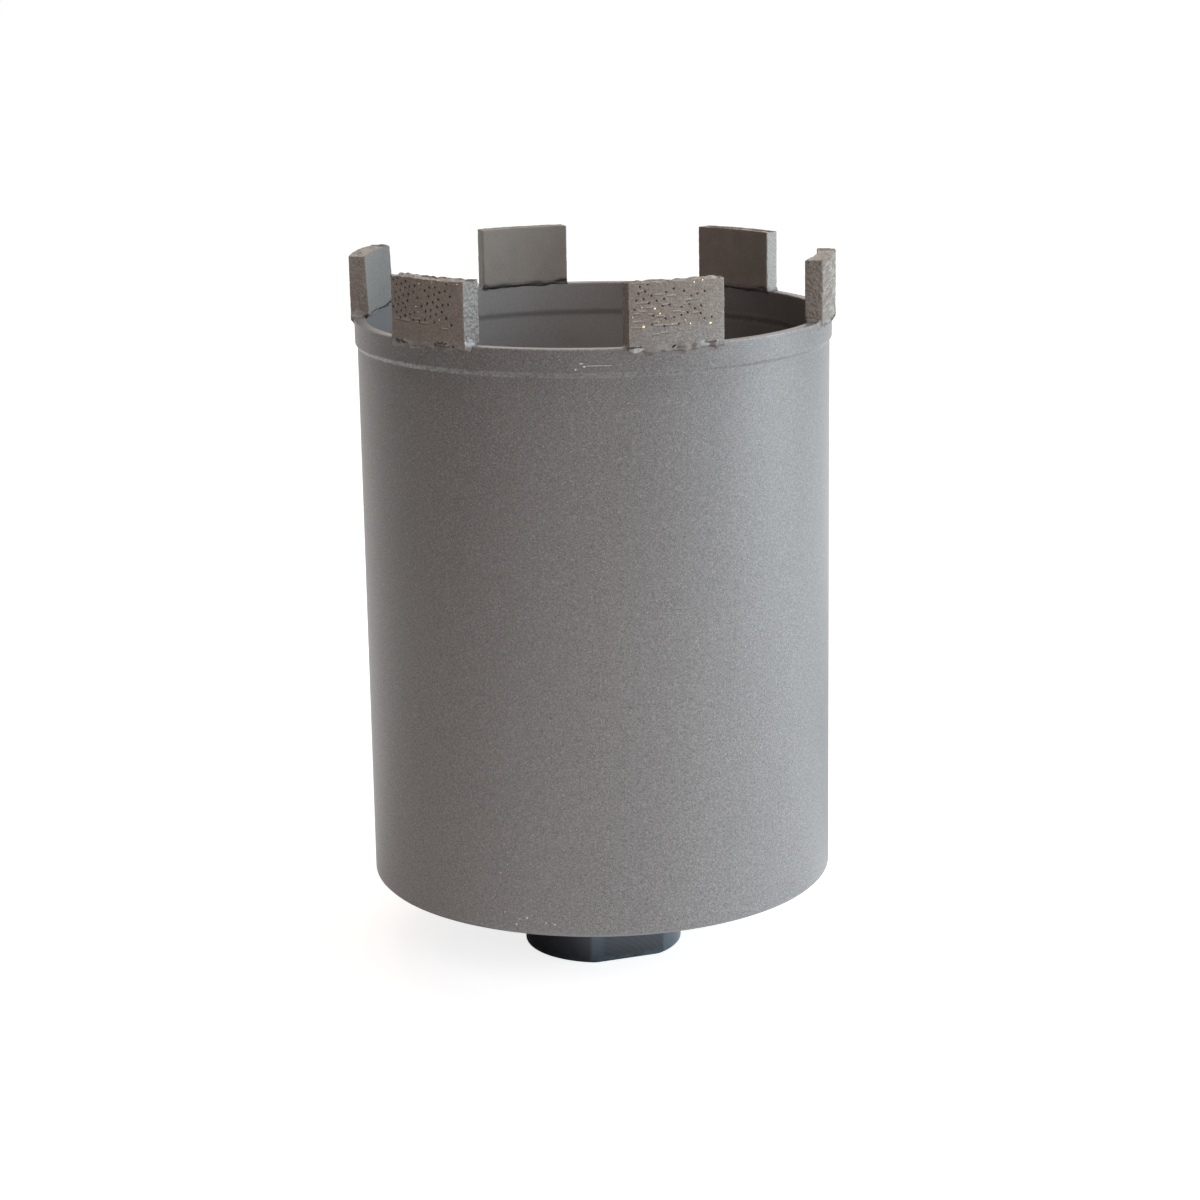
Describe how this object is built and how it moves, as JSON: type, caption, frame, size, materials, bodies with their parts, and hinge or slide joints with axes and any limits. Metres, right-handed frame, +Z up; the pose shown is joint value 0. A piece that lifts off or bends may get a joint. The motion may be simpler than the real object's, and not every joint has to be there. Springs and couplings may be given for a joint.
{
  "type": "diamond core bit",
  "caption": "Dry diamond core bit: thin turned steel tube with brazed segments on a rim band, closed by a welded base plate and a threaded hub with wrench flats.",
  "frame": {"origin": "centre of the hub's end face, which the bit stands on", "axes": "+Z up along the bit's axis towards the segments; -Y is the side that the picture shows, +X is its right"},
  "size_m": [0.122, 0.1213, 0.1821],
  "materials": {
    "painted_steel": "satin metallic grey paint with a fine orange-peel texture",
    "blued_steel": "blackened turned and milled steel",
    "sintered_metal": "rough sintered metal powder with diamond grit",
    "braze_alloy": "dull silver braze with flux stains",
    "weld_bead": "painted weld bead"
  },
  "bodies": {
    "root": {"tube": "painted_steel", "base_plate": "painted_steel", "hub": "blued_steel", "tube_weld": "weld_bead", "hub_weld": "weld_bead", "segment_1": "sintered_metal", "segment_2": "sintered_metal", "segment_3": "sintered_metal", "segment_4": "sintered_metal", "segment_5": "sintered_metal", "segment_6": "sintered_metal", "braze_1": "braze_alloy", "braze_2": "braze_alloy", "braze_3": "braze_alloy", "braze_4": "braze_alloy", "braze_5": "braze_alloy", "braze_6": "braze_alloy"}
  },
  "joints": []
}
